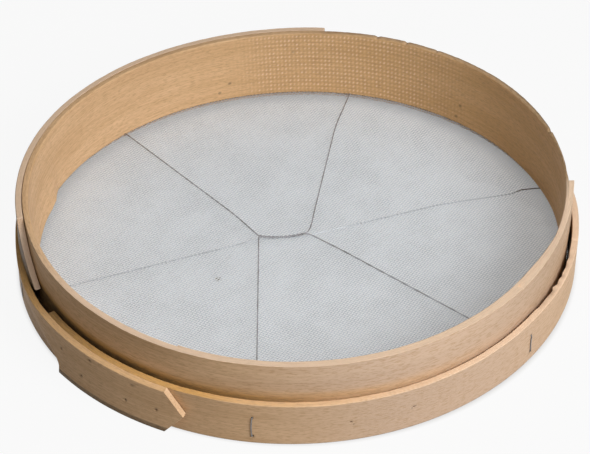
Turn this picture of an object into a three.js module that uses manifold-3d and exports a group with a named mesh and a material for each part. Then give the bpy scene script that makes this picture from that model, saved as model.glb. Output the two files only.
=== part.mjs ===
// Wooden sieve: a bentwood hoop, a woven wire cloth under it and an outer band that clamps the cloth.
// Millimetres and degrees, +Z up. The origin is on the hoop's axis, on the table that the band stands on.
// Plan angles run counter-clockwise from +X, seen from above, and -Y is the front.

import * as THREE from 'three';
import { mergeGeometries, mergeVertices } from 'three/addons/utils/BufferGeometryUtils.js';
import Module from 'manifold-3d';

const wasm = await Module();
wasm.setup();

// Clearance between pieces that touch, and the arc covered by one facet of a bent strip
const fitGap = 0.3;
const facetArc = 3.6;

// Heights above the table
const rimHeight = 69;
const bandHeight = 38;
const clothHeight = 7;
const marginHeight = 20;

// Hoop: one strip wound in a spiral, shaved thin over the inner part that laps inside the outer end
const hoopRadius = 200;
const hoopThickness = 4.5;
const hoopShavedThickness = 2.7;
const hoopTipThickness = 0.8;
const hoopInnerEnd = -115;
const hoopOuterEnd = 359.3;
const hoopTipArc = 30;
const hoopShaveArc = 103;

// Doubling strip: stands on the band outside the hoop, square at the back and cut on a diagonal at the left
const doublingThickness = 4.8;
const doublingSquareEnd = 83.2;
const doublingCutEnd = 204.2;
const doublingCutLength = 48;
const doublingLevels = 6;

// Band: clamps the cloth's turned-up edge. Its inner end is cut on a slant and its outer end is pointed. It
// climbs on to the inner end in a short step at its foot and in a long curve at its top edge, it laps closer
// at the top than at the foot, and its top edge stands out at the right
const bandThickness = 5;
const bandInnerEnd = -148.5;
const bandInnerCut = 27.5;
const bandPointEnd = 248.2;
const bandPointLength = 13.5;
const bandLevels = 4;
const bandFootClimb = 2.5;
const bandTopClimb = 26;
const bandClimbLead = 2.2;
const bandLapGap = 0.5;
const bandFootGap = 1.7;
const bandFlare = 1.4;
const bandFlareAngle = -20;
const bandFlareArc = 20;

// How far along a strip the slant of its end reaches
const cutArc = 30;

// Cloth: an even net of square gaps, turned against the front, with its edge turned up round the hoop
const clothThickness = 0.8;
const clothPitch = 20.5;
const clothBar = 2;
const clothTurn = -31;
const clothEdge = 4;
const marginThickness = 1.6;

// The arc over which the cloth's edge and the band come in behind the hoop's outer end
const seatArc = 20;

// Brace wires: two on the cloth, twisted together in the middle and bent a little on the way to each wall.
// The third lies under the cloth and comes up through one of its gaps near the right wall
const wireDiameter = 1;
const wireSides = 6;
const wireWallHeight = 9.8;
const wireFold = 1.2;
const wireTurnIn = 3;
const stapleSpan = 16;
const stapleBite = 2;
const twistLeft = new THREE.Vector3(-28.8, 7.3, 0);
const twistRight = new THREE.Vector3(6.2, 9.8, 0);
const twistBow = 2.6;
const twistLead = 1.5;
const twistGap = 0.7;
const twistHalfTurns = 11;
const twistStepsPerTurn = 8;
const wireEndsA = [134.3, -37.4];
const wireEndsB = [-99.2, 76.6];
const wireEndsC = [195.3, 18];
const wireBendsA = [[[-48.5, 35.5]], [[34.1, -9.8]]];
const wireBendsB = [[[-29.5, -30]], [[13.3, 33.9], [33.3, 150]]];
const underBend = new THREE.Vector3(112, 46.5, 0);
const threadGap = [6, 7];
const threadRun = 10;

// Nails: one size of small flat-headed nail, and the plan angle and height of each
const nailDiameter = 1.8;
const nailHeadDiameter = 3;
const nailHeadThickness = 0.8;
const nailHeadSink = 0.1;
const nailPointLength = 2.5;
const nailPointShow = 0.5;
const nailSides = 8;
const lapNails = [[218.6, 25.3], [226.8, 34], [224.6, 14.3], [237.5, 33], [235.8, 15.8], [242.6, 18.4]];
const backLeftNails = [[105.8, 24.2], [108.3, 16.1]];
const backRightNails = [[48.4, 26.1], [49.3, 14.3]];
const frontNails = [[-80.4, 18.6], [-67.9, 19.9]];
const hoopLapNails = [[-20, 26], [-23, 15]];
const doublingNail = [90.4, 50.3];

// Out of true: the wood has sprung a little oval, three-cornered towards the rim, and its rim leans
const ovalRise = 1.65;
const ovalAngle = 34;
const lobeRiseRim = 2.2;
const lobeRiseBase = 0.75;
const lobeAngle = -81;
const rimLean = new THREE.Vector2(1.3, -2.5);

// Derived levels, radii and angles
const clothTop = clothHeight + clothThickness;
const hoopBottom = clothTop + fitGap;
const marginTop = hoopBottom + marginHeight;
const clothWrap = marginThickness + 2 * fitGap;
const wireRadius = wireDiameter / 2;
const wireReach = wireRadius + fitGap;
const twistRadius = wireRadius + twistGap / 2;
const twistHeight = clothTop + fitGap + twistRadius + wireRadius;
const wireUnderHeight = clothHeight - wireReach;
const wireOverHeight = clothTop + wireReach;
const doublingBottom = bandHeight + fitGap;
const hoopPitch = hoopShavedThickness + fitGap;
const fullTurn = 360;
const hoopLapStop = hoopOuterEnd - fullTurn;
const seatSettle = hoopLapStop + seatArc;
const bandLapStart = bandInnerEnd + fullTurn;
const bandLapFoot = bandLapStart + arcOf(bandInnerCut);
const bandFootTop = bandLapFoot - bandClimbLead;
const seams = [hoopOuterEnd, doublingSquareEnd, bandLapStart, bandFootTop, bandFootTop - bandFootClimb];

// Plan helpers

function arcOf(length) {
  return THREE.MathUtils.radToDeg(length / hoopRadius);
}

function polar(angle, radius, height) {
  const turn = THREE.MathUtils.degToRad(angle);
  return new THREE.Vector3(radius * Math.cos(turn), radius * Math.sin(turn), height);
}

// A frame on the wall at a plan angle: x along the wall, y up and z straight out

function onWall(angle, radius, height) {
  const along = polar(angle + 90, 1, 0);
  const up = new THREE.Vector3(0, 0, 1);
  const out = polar(angle, 1, 0);
  return new THREE.Matrix4().makeBasis(along, up, out).setPosition(polar(angle, radius, height));
}

// Hoop faces, along the winding angle of the strip from its inner end to its outer end

function spiral(angle) {
  return hoopRadius + (hoopPitch * (angle - 90)) / fullTurn;
}

function hoopOuter(angle) {
  const grown = THREE.MathUtils.smoothstep(angle, hoopLapStop, hoopLapStop + hoopShaveArc);
  return spiral(angle) + THREE.MathUtils.lerp(hoopShavedThickness, hoopThickness, grown);
}

function hoopInner(angle) {
  const grown = THREE.MathUtils.clamp((angle - hoopInnerEnd) / hoopTipArc, 0, 1);
  return spiral(angle) + THREE.MathUtils.lerp(hoopShavedThickness - hoopTipThickness, 0, grown);
}

// The hoop's outermost and innermost faces at a plan angle: in the lap they are on different layers

function hoopFace(angle) {
  return hoopOuter(angle <= hoopLapStop ? angle + fullTurn : angle);
}

function hoopWall(angle) {
  const turned = angle >= hoopInnerEnd + fullTurn ? angle - fullTurn : angle;
  return hoopInner(turned < hoopInnerEnd ? turned + fullTurn : turned);
}

function doublingInner(angle) {
  return hoopOuter(angle) + fitGap;
}

function doublingOuter(angle) {
  return doublingInner(angle) + doublingThickness;
}

// What the cloth's edge lies on: the hoop, and an easy curve past the hoop's outer end

function seat(angle) {
  const turned = angle > hoopOuterEnd ? angle - fullTurn : angle;
  if (turned < hoopLapStop) {
    return hoopFace(turned);
  }
  if (turned > seatSettle) {
    return hoopOuter(turned);
  }
  const settle = THREE.MathUtils.smoothstep(turned, hoopLapStop, seatSettle);
  return THREE.MathUtils.lerp(hoopFace(hoopLapStop), hoopOuter(seatSettle), settle);
}

function marginInner(angle) {
  return seat(angle) + fitGap;
}

function marginOuter(angle) {
  return marginInner(angle) + marginThickness;
}

// Band faces, along the winding angle of the band from its inner end to the point of its outer end. They
// are set on a few level lines and run straight between them

function bandShare(height) {
  return THREE.MathUtils.clamp(height / bandHeight, 0, 1);
}

function bandLine(angle, share) {
  const climbed = THREE.MathUtils.lerp(bandLapFoot, bandLapStart, share) - bandClimbLead;
  const climb = THREE.MathUtils.lerp(bandFootClimb, bandTopClimb, share * share);
  const lapped = THREE.MathUtils.smoothstep(angle, climbed - climb, climbed);
  const lapGap = THREE.MathUtils.lerp(bandFootGap, bandLapGap, share);
  const away = Math.abs(angle - bandFlareAngle);
  const flare = share * bandFlare * (1 - THREE.MathUtils.smoothstep(away, 0, bandFlareArc));
  return seat(angle) + clothWrap + lapped * (bandThickness + lapGap) + flare;
}

function bandInner(angle, height) {
  const level = bandShare(height) * bandLevels;
  const below = Math.floor(level);
  const lower = bandLine(angle, below / bandLevels);
  const upper = bandLine(angle, Math.ceil(level) / bandLevels);
  return THREE.MathUtils.lerp(lower, upper, level - below);
}

function bandOuter(angle, height) {
  return bandInner(angle, height) + bandThickness;
}

// Solids: geometry into and out of the boolean library

function toSolid(geometry) {
  const bare = geometry.clone();
  bare.deleteAttribute('normal');
  bare.deleteAttribute('uv');
  const merged = mergeVertices(bare, 1e-4);
  const corners = merged.index.array;
  const kept = [];
  for (let i = 0; i < corners.length; i += 3) {
    const triangle = [corners[i], corners[i + 1], corners[i + 2]];
    if (new Set(triangle).size === 3) {
      kept.push(...triangle);
    }
  }
  const vertProperties = new Float32Array(merged.attributes.position.array);
  const mesh = new wasm.Mesh({ numProp: 3, vertProperties, triVerts: new Uint32Array(kept) });
  return new wasm.Manifold(mesh);
}

function toGeometry(solid) {
  const mesh = solid.getMesh();
  const geometry = new THREE.BufferGeometry();
  geometry.setAttribute('position', new THREE.BufferAttribute(mesh.vertProperties, 3));
  geometry.setIndex(new THREE.BufferAttribute(mesh.triVerts, 1));
  geometry.computeVertexNormals();
  return geometry;
}

function cut(geometry, cutters) {
  let solid = toSolid(geometry);
  for (const cutter of cutters) {
    solid = solid.subtract(cutter);
  }
  return toGeometry(solid);
}

// Bent strips: a plan outline between two faces, raised from a bottom to a top

function stations(start, end) {
  const marks = [start, end];
  for (let k = Math.floor(start / facetArc) + 1; k * facetArc < end; k += 1) {
    marks.push(k * facetArc);
  }
  for (const seam of seams) {
    const turns = [seam - fullTurn, seam];
    marks.push(...turns.filter((angle) => angle > start && angle < end));
  }
  return [...new Set(marks)].sort((a, b) => a - b);
}

function planLine(angles, face) {
  return angles.map((angle) => {
    const point = polar(angle, face(angle), 0);
    return new THREE.Vector2(point.x, point.y);
  });
}

function closedLine(face) {
  return planLine(stations(0, fullTurn).slice(0, -1), face);
}

function raise(shape, bottom, top) {
  const geometry = new THREE.ExtrudeGeometry(shape, { depth: top - bottom, bevelEnabled: false });
  return geometry.translate(0, 0, bottom);
}

// A bent strip is a straight block wound round the hoop, with its ends slanted by a cut at each height

function bentStrip({ start, end, inner, outer, bottom, top, levels = 1, startCut, endCut }) {
  const angles = stations(start, end);
  const pieces = angles.length - 1;
  const block = new THREE.BoxGeometry(1, 1, 1, pieces, levels, 1);
  const corners = block.attributes.position;
  for (let i = 0; i < corners.count; i += 1) {
    const height = THREE.MathUtils.lerp(bottom, top, corners.getY(i) + 0.5);
    const station = angles[Math.round((corners.getX(i) + 0.5) * pieces)];
    const nearStart = 1 - THREE.MathUtils.clamp((station - start) / cutArc, 0, 1);
    const nearEnd = 1 - THREE.MathUtils.clamp((end - station) / cutArc, 0, 1);
    const fromStart = startCut ? nearStart * arcOf(startCut(height)) : 0;
    const fromEnd = endCut ? nearEnd * arcOf(endCut(height)) : 0;
    const angle = station + fromStart - fromEnd;
    const face = corners.getZ(i) > 0 ? outer : inner;
    const point = polar(angle, face(angle, height), height);
    corners.setXYZ(i, point.x, point.y, point.z);
  }
  return block;
}

function doublingCut(height) {
  return (doublingCutLength * (height - doublingBottom)) / (rimHeight - doublingBottom);
}

function bandSlant(height) {
  return bandInnerCut * (1 - bandShare(height));
}

function bandPoint(height) {
  return bandPointLength * Math.abs(2 * bandShare(height) - 1);
}

// Round hole straight through the wall, between two radii

function holeCutter(angle, height, near, far) {
  const drill = new THREE.CylinderGeometry(wireReach, wireReach, far - near, wireSides);
  drill.rotateX(Math.PI / 2);
  return toSolid(drill.applyMatrix4(onWall(angle, (near + far) / 2, height)));
}

// Wires: a route of points, and a tube that turns at each of them

class WireRoute extends THREE.Curve {
  constructor(points) {
    super();
    this.points = points;
  }

  getPoint(t, target = new THREE.Vector3()) {
    const spot = t * (this.points.length - 1);
    const index = Math.min(Math.floor(spot), this.points.length - 2);
    return target.lerpVectors(this.points[index], this.points[index + 1], spot - index);
  }

  getTangent(t, target = new THREE.Vector3()) {
    const last = this.points.length - 1;
    const index = Math.round(t * last);
    const point = this.points[index];
    const before = this.points[Math.max(index - 1, 0)];
    const after = this.points[Math.min(index + 1, last)];
    const arriving = point.clone().sub(before).normalize();
    const leaving = after.clone().sub(point).normalize();
    return target.addVectors(arriving, leaving).normalize();
  }

  getUtoTmapping(u) {
    return u;
  }
}

function wireTube(points) {
  const corners = [];
  for (let k = 0; k < wireSides; k += 1) {
    const turn = (2 * Math.PI * k) / wireSides;
    corners.push(new THREE.Vector2(wireRadius * Math.cos(turn), wireRadius * Math.sin(turn)));
  }
  const extrudePath = new WireRoute(points);
  return new THREE.ExtrudeGeometry(new THREE.Shape(corners), { steps: points.length - 1, extrudePath });
}

function fold(before, corner, after) {
  const start = before.clone().sub(corner).setLength(wireFold).add(corner);
  const end = after.clone().sub(corner).setLength(wireFold).add(corner);
  return new THREE.QuadraticBezierCurve3(start, corner, end).getPoints(4);
}

// One end of a wire: out through the wall, up the band's face, and in again as a staple

function staple(angle, height) {
  const top = height + stapleSpan;
  const inside = polar(angle, hoopWall(angle) - wireTurnIn, height);
  const low = polar(angle, bandOuter(angle, height) + wireReach, height);
  const high = polar(angle, bandOuter(angle, top) + wireReach, top);
  const tip = polar(angle, seat(angle) - stapleBite, top);
  return [inside, ...fold(inside, low, high), ...fold(low, high, tip), tip];
}

function stapleHoles(angle, height) {
  const top = height + stapleSpan;
  const near = hoopWall(angle) - wireTurnIn;
  const blind = seat(angle) - stapleBite - fitGap;
  return [
    holeCutter(angle, height, near, bandOuter(angle, height) + wireReach),
    holeCutter(angle, top, blind, bandOuter(angle, top) + wireReach),
  ];
}

// The two wires on the cloth turn round each other between the ends of the twist

const twistAxis = twistRight.clone().sub(twistLeft).normalize();
const twistSide = new THREE.Vector3(-twistAxis.y, twistAxis.x, 0);

function strandPoint(share, phase) {
  const turn = phase + share * twistHalfTurns * Math.PI;
  const point = twistLeft.clone().lerp(twistRight, share);
  point.addScaledVector(twistSide, twistRadius * Math.cos(turn) - twistBow * 4 * share * (1 - share));
  point.z = twistHeight + twistRadius * Math.sin(turn);
  return point;
}

function twistedWire(ends, bends, phase) {
  const steps = (twistHalfTurns * twistStepsPerTurn) / 2;
  const [toLeft, toRight] = bends.map((run) => run.map(([x, y]) => new THREE.Vector3(x, y, wireOverHeight)));
  const strand = [];
  for (let k = 0; k <= steps; k += 1) {
    strand.push(strandPoint(k / steps, phase));
  }
  const [left, right] = ends.map((angle) => staple(angle, wireWallHeight));
  const leftTurn = strand[0].clone().addScaledVector(twistAxis, -twistLead);
  const rightTurn = strand[steps].clone().addScaledVector(twistAxis, twistLead);
  return [
    ...left.reverse(),
    ...toLeft,
    ...fold(toLeft[toLeft.length - 1], leftTurn, strand[0]),
    ...strand,
    ...fold(strand[steps], rightTurn, toRight[0]),
    ...toRight,
    ...right,
  ];
}

function gapCentre([i, j]) {
  const centre = new THREE.Vector3(i * clothPitch, j * clothPitch, 0);
  return centre.applyAxisAngle(new THREE.Vector3(0, 0, 1), THREE.MathUtils.degToRad(clothTurn));
}

function threadedWire(ends) {
  const left = staple(ends[0], wireUnderHeight);
  const right = staple(ends[1], wireWallHeight);
  const under = [twistLeft, twistRight, underBend].map((point) => point.clone().setZ(wireUnderHeight));
  const middle = gapCentre(threadGap);
  const along = middle.clone().sub(underBend).setLength(threadRun / 2);
  const dip = middle.clone().sub(along).setZ(wireUnderHeight);
  const rise = middle.clone().add(along).setZ(wireOverHeight);
  return [...left.reverse(), ...under, dip, rise, ...right];
}

function leastGap(pointsA, pointsB) {
  let least = Infinity;
  for (const a of pointsA) {
    for (const b of pointsB) {
      least = Math.min(least, a.distanceTo(b));
    }
  }
  return least - wireDiameter;
}

// Nails lie along z from point to head, and the same outline with a clearance drills their holes

function nailBlank(length, gap) {
  const shank = nailDiameter / 2 + gap;
  const head = nailHeadDiameter / 2 + gap;
  const neck = length - nailHeadThickness - gap;
  const top = length + (gap > 0 ? bandThickness : 0);
  const point = [[0, -3 * gap], [shank, nailPointLength], [shank, neck]];
  const flatHead = [[head, neck], [head, top], [0, top]];
  const profile = [...point, ...flatHead].map(([radius, along]) => new THREE.Vector2(radius, along));
  return new THREE.LatheGeometry(profile, nailSides).rotateX(Math.PI / 2);
}

function nailRun([angle, height], face) {
  const tip = hoopWall(angle) - nailPointShow;
  const length = face - nailHeadSink - tip;
  return { length, place: onWall(angle, tip, height) };
}

// Pieces

const root = new THREE.Group();
root.name = 'wooden_sieve';

function beech(color) {
  return new THREE.MeshStandardMaterial({ color, roughness: 0.7, metalness: 0 });
}

function steel(color, roughness) {
  return new THREE.MeshStandardMaterial({ color, roughness, metalness: 0.9 });
}

function addPiece(name, geometry, material) {
  const mesh = new THREE.Mesh(geometry, material);
  mesh.name = name;
  root.add(mesh);
  return mesh;
}

const nailPlan = [];

function planNails(name, spots, face) {
  spots.forEach((spot, k) => nailPlan.push([`${name}_${k + 1}`, spot, face(...spot)]));
}

planNails('lap_nail', lapNails, bandOuter);
planNails('back_left_nail', backLeftNails, bandOuter);
planNails('back_right_nail', backRightNails, bandOuter);
planNails('front_nail', frontNails, bandOuter);
planNails('hoop_lap_nail', hoopLapNails, hoopFace);
nailPlan.push(['doubling_nail', doublingNail, doublingOuter(doublingNail[0])]);

const drills = [];
for (const angle of [...wireEndsA, ...wireEndsB]) {
  drills.push(...stapleHoles(angle, wireWallHeight));
}
drills.push(...stapleHoles(wireEndsC[0], wireUnderHeight), ...stapleHoles(wireEndsC[1], wireWallHeight));
const hoopLapDrills = [];
for (const [name, spot, face] of nailPlan) {
  const { length, place } = nailRun(spot, face);
  const drill = toSolid(nailBlank(length, fitGap).applyMatrix4(place));
  (name.startsWith('hoop_lap') ? hoopLapDrills : drills).push(drill);
}

const hoopBlank = bentStrip({
  start: hoopInnerEnd,
  end: hoopOuterEnd,
  inner: hoopInner,
  outer: hoopOuter,
  bottom: hoopBottom,
  top: rimHeight,
});
addPiece('hoop', cut(hoopBlank, [...drills, ...hoopLapDrills]), beech(0xd0aa80));

const doublingBlank = bentStrip({
  start: doublingSquareEnd,
  end: doublingCutEnd,
  inner: doublingInner,
  outer: doublingOuter,
  bottom: doublingBottom,
  top: rimHeight,
  levels: doublingLevels,
  endCut: doublingCut,
});
addPiece('doubling_strip', cut(doublingBlank, drills), beech(0xc79f73));

const bandBlank = bentStrip({
  start: bandInnerEnd,
  end: bandPointEnd,
  inner: bandInner,
  outer: bandOuter,
  bottom: 0,
  top: bandHeight,
  levels: bandLevels,
  startCut: bandSlant,
  endCut: bandPoint,
});
addPiece('band', cut(bandBlank, drills), beech(0xc8a279));

// The cloth's gaps are whole squares in the middle and are trimmed by the edge that the hoop sits on

const clothOpenRadius = spiral(hoopInnerEnd) - clothEdge;

function clothGaps() {
  const reach = Math.ceil(clothOpenRadius / clothPitch);
  const side = clothPitch - clothBar;
  const gaps = [];
  for (let i = -reach; i <= reach; i += 1) {
    for (let j = -reach; j <= reach; j += 1) {
      if (Math.hypot(i, j) * clothPitch < clothOpenRadius) {
        const gap = new THREE.BoxGeometry(side, side, clothPitch);
        gaps.push(gap.translate(i * clothPitch, j * clothPitch, clothHeight));
      }
    }
  }
  console.log(`cloth gaps ${gaps.length}`);
  return toSolid(mergeGeometries(gaps).rotateZ(THREE.MathUtils.degToRad(clothTurn)));
}

const clothMiddle = new THREE.Shape(closedLine(() => clothOpenRadius));
const clothOpenings = toSolid(raise(clothMiddle, 0, rimHeight)).intersect(clothGaps());
const clothBlank = raise(new THREE.Shape(closedLine(marginOuter)), clothHeight, clothTop);
addPiece('wire_cloth', cut(clothBlank, [clothOpenings]), steel(0xc6c8cc, 0.45));

const marginOutline = new THREE.Shape(closedLine(marginOuter));
marginOutline.holes.push(new THREE.Path(closedLine(marginInner)));
addPiece('cloth_margin', cut(raise(marginOutline, hoopBottom, marginTop), drills), steel(0xc6c8cc, 0.45));

const wireA = twistedWire(wireEndsA, wireBendsA, 0);
const wireB = twistedWire(wireEndsB, wireBendsB, Math.PI);
const wireC = threadedWire(wireEndsC);
console.log(`least gap between the twisted wires ${leastGap(wireA, wireB).toFixed(2)} mm`);
addPiece('brace_wire_a', wireTube(wireA), steel(0x6a6a6c, 0.5));
addPiece('brace_wire_b', wireTube(wireB), steel(0x6a6a6c, 0.5));
addPiece('brace_wire_c', wireTube(wireC), steel(0x6a6a6c, 0.5));

for (const [name, spot, face] of nailPlan) {
  const { length, place } = nailRun(spot, face);
  const blank = toGeometry(toSolid(nailBlank(length, 0)));
  addPiece(name, blank.applyMatrix4(place), steel(0x4f4a45, 0.6));
}

// Every piece springs out of true by the same rule, so what fits stays fitted

function spring(geometry) {
  const corners = geometry.attributes.position;
  const point = new THREE.Vector3();
  for (let i = 0; i < corners.count; i += 1) {
    point.fromBufferAttribute(corners, i);
    const angle = Math.atan2(point.y, point.x);
    const share = point.z / rimHeight;
    const oval = ovalRise * Math.cos(2 * (angle - THREE.MathUtils.degToRad(ovalAngle)));
    const lobe = THREE.MathUtils.lerp(lobeRiseBase, lobeRiseRim, share);
    const lobes = lobe * Math.cos(3 * (angle - THREE.MathUtils.degToRad(lobeAngle)));
    const swell = 1 + (oval + lobes) / hoopRadius;
    corners.setXYZ(i, point.x * swell + rimLean.x * share, point.y * swell + rimLean.y * share, point.z);
  }
  geometry.computeVertexNormals();
}

root.children.forEach((mesh) => spring(mesh.geometry));

export default root;
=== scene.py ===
# %% [markdown]
# # A bentwood sieve
# Two thin beech strips are bent into rings and nailed: a tall hoop whose own end laps inside it,
# and a lower band outside that clamps a wire cloth under the hoop. The frame holds every piece at
# its true size and place. This lesson keeps those places and gives each piece the surface that a
# camera sees.

# %% Load the frame
import math
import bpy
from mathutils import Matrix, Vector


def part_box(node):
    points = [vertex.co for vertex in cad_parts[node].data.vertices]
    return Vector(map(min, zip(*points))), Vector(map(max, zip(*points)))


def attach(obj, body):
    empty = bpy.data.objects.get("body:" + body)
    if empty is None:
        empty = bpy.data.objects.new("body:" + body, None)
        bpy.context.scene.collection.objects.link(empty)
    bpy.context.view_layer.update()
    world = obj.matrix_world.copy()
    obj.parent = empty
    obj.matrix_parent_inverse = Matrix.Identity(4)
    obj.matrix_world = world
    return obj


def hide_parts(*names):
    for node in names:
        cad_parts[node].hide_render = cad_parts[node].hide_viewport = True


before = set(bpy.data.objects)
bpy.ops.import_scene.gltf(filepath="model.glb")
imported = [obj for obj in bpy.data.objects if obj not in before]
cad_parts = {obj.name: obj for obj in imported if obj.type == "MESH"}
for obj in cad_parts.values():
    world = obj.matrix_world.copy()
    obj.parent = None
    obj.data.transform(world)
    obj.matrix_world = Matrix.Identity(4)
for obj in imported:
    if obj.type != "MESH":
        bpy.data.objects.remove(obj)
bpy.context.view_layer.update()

from types import SimpleNamespace

import bpy
import numpy as np
from mathutils import Matrix, Vector

# %% [markdown]
# ## Camera
# The sieve is seen from the front and above, far enough away that near and far rim look almost
# parallel. A long lens from 1.8 m gives that. The rise, the small roll and the point looked at were
# found by matching the rim's outline, so the camera is placed from them instead of by eye.

# %% Place the camera
IMAGE_WIDTH = 590
FOCAL_PIXELS = 2352.1
SENSOR_WIDTH = 36.0
CAMERA_DISTANCE = 1.8
CAMERA_RISE = math.radians(38.96)
CAMERA_ROLL = -0.0152
LOOK_AT = Vector((-0.0011, 0.0, 0.0235))

level_right = Vector((1.0, 0.0, 0.0))
towards_camera = Vector((0.0, -math.cos(CAMERA_RISE), math.sin(CAMERA_RISE)))
level_up = towards_camera.cross(level_right)
camera_right = level_right * math.cos(CAMERA_ROLL) + level_up * math.sin(CAMERA_ROLL)
camera_up = level_up * math.cos(CAMERA_ROLL) - level_right * math.sin(CAMERA_ROLL)
camera = bpy.data.objects.new("camera", bpy.data.cameras.new("camera"))
camera.data.sensor_fit = "HORIZONTAL"
camera.data.sensor_width = SENSOR_WIDTH
camera.data.lens = SENSOR_WIDTH * FOCAL_PIXELS / IMAGE_WIDTH
camera.matrix_world = Matrix.Translation(LOOK_AT + CAMERA_DISTANCE * towards_camera) @ Matrix(
    (camera_right, camera_up, towards_camera)
).transposed().to_4x4()
bpy.context.scene.collection.objects.link(camera)
bpy.context.scene.camera = camera
print("lens", round(camera.data.lens, 1), "mm at", [round(x, 3) for x in camera.matrix_world.translation])

# %% [markdown]
# ## How the strips are wound
# A bent strip is easiest to describe by its winding angle: go round the ring, and the face moves
# out a little, because the strip laps over itself. The hoop is a slow spiral, shaved thin where it
# lies inside its own outer end. The same rules place the cloth, the band and the wires, so every
# piece fits the next one. Sizes here are millimetres and degrees; a face is asked for an angle and
# a height, and an upright face leaves the height out.

# %% Sizes of the hoop and small helpers
MM = 0.001
TURN = 360.0
FIT = 0.3
RIM_HEIGHT = 69.0
HOOP_RADIUS = 200.0
HOOP_THICK = 4.5
HOOP_SHAVED = 2.7
HOOP_TIP = 0.8
HOOP_INNER_END = -115.0
HOOP_OUTER_END = 359.3
HOOP_TIP_ARC = 30.0
SHAVE_ARC = 103.0
HOOP_PITCH = HOOP_SHAVED + FIT
LAP_STOP = HOOP_OUTER_END - TURN
SEAT_SETTLE = LAP_STOP + 20.0


def mix(a, b, share):
    return a + (b - a) * share


def ease(x, start, end):
    share = np.clip((x - start) / (end - start), 0, 1)
    return share * share * (3 - 2 * share)


def stretch(x, start, full, last, end):
    return ease(x, start, full) * ease(x, end, last)


def from_line(x, line):
    return np.interp(x, *np.transpose(line))


def arc_of(length):
    return np.degrees(length / HOOP_RADIUS)


def polar(angle, radius, height):
    turn = np.radians(angle)
    return np.stack(np.broadcast_arrays(radius * np.cos(turn), radius * np.sin(turn), height), axis=-1)


print("the hoop winds", round((HOOP_OUTER_END - HOOP_INNER_END) / TURN, 2), "times round")

# %% Faces of the hoop
HOOP_SNUG = 0.2
HOOP_FULL = 0.9


def spiral(angle):
    return HOOP_RADIUS + HOOP_PITCH * (angle - 90.0) / TURN


def hoop_outer(angle, height=None):
    grown = ease(angle, LAP_STOP, LAP_STOP + SHAVE_ARC)
    snug = HOOP_SNUG * ease(angle, 3.0, LAP_STOP)
    full = HOOP_FULL * stretch(angle, 0.0, 5.0, 20.0, 55.0)
    return spiral(angle) + mix(HOOP_SHAVED, HOOP_THICK, grown) + snug + full


def hoop_inner(angle, height=None):
    grown = np.clip((angle - HOOP_INNER_END) / HOOP_TIP_ARC, 0, 1)
    return spiral(angle) + mix(HOOP_SHAVED - HOOP_TIP, 0, grown)


def hoop_face(angle):
    return hoop_outer(np.where(angle <= LAP_STOP, angle + TURN, angle))


def hoop_wall(angle):
    turned = np.where(angle >= HOOP_INNER_END + TURN, angle - TURN, angle)
    return hoop_inner(np.where(turned < HOOP_INNER_END, turned + TURN, turned))


def seat(angle):
    turned = np.where(angle > HOOP_OUTER_END, angle - TURN, angle)
    settling = ease(turned, LAP_STOP, SEAT_SETTLE)
    past_end = mix(hoop_face(np.array(LAP_STOP)), hoop_outer(SEAT_SETTLE), settling)
    beyond = np.where(turned > SEAT_SETTLE, hoop_outer(turned), past_end)
    return np.where(turned < LAP_STOP, hoop_face(turned), beyond)


print("the hoop's outside radius at the front", np.round(hoop_face(np.array(-90.0)), 2), "mm")

# %% [markdown]
# ## Out of true
# Bent wood never stays a perfect circle. This ring has sprung a little oval, with three soft
# corners that grow towards the rim, and the rim leans a few millimetres. One rule bends every point
# of every piece, so what fits stays fitted, and the same rule turns millimetres into metres.

# %% Spring the ring out of true
OVAL_RISE = 1.65
OVAL_ANGLE = 34.0
LOBE_RISE_RIM = 2.2
LOBE_RISE_BASE = 0.75
LOBE_ANGLE = -81.0
RIM_LEAN = (1.3, -2.5)


def sprung(points):
    flat = np.reshape(points, (-1, 3))
    x, y, z = flat.T
    angle = np.arctan2(y, x)
    share = z / RIM_HEIGHT
    oval = OVAL_RISE * np.cos(2 * (angle - math.radians(OVAL_ANGLE)))
    lobes = mix(LOBE_RISE_BASE, LOBE_RISE_RIM, share) * np.cos(3 * (angle - math.radians(LOBE_ANGLE)))
    swell = 1 + (oval + lobes) / HOOP_RADIUS
    return MM * np.stack([x * swell + RIM_LEAN[0] * share, y * swell + RIM_LEAN[1] * share, z], axis=-1)


front_point = sprung(polar(-90.0, HOOP_RADIUS, RIM_HEIGHT)) / MM
print("the rim's front point moves to", np.round(front_point, 2).tolist())

# %% [markdown]
# ## Mesh helpers
# Each strip is one long rounded section swept along its winding, with as many rows as its marks
# need. A sweep keeps the rows level, so every point also knows how far along, up and through the
# plank it lies. That is stored as the grain, and the wood finish reads it, so the figure follows
# the bend as it does in steamed wood.

# %% Turn points and faces into a piece
SHARP_CORNER = 40.0


def make_piece(name, points, faces, replaced, layers=None, sharp=SHARP_CORNER):
    mesh = bpy.data.meshes.new(name)
    mesh.from_pydata(points.tolist(), [], faces)
    for layer, values in (layers or {}).items():
        kind = "FLOAT_VECTOR" if values.ndim == 2 else "FLOAT"
        data = mesh.attributes.new(layer, kind, "POINT").data
        data.foreach_set("vector" if values.ndim == 2 else "value", values.astype(np.float32).ravel())
    mesh.polygons.foreach_set("use_smooth", np.ones(len(mesh.polygons), bool))
    mesh.set_sharp_from_angle(angle=math.radians(sharp))
    mesh.update()
    piece = bpy.data.objects.new(name, mesh)
    bpy.context.scene.collection.objects.link(piece)
    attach(piece, "root")
    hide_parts(*replaced)
    return piece


def report(piece, node):
    corners = np.array([v.co for v in piece.data.vertices])
    made = np.array([corners.min(0), corners.max(0)])
    apart = np.abs(made - np.array(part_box(node))).max() / MM
    print(piece.name, len(piece.data.polygons), "faces, within", round(float(apart), 2), "mm of", node)


print("edges sharper than", SHARP_CORNER, "degrees stay crisp")

# %% Rounded section of a strip
CORNER_STEPS = 4


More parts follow.
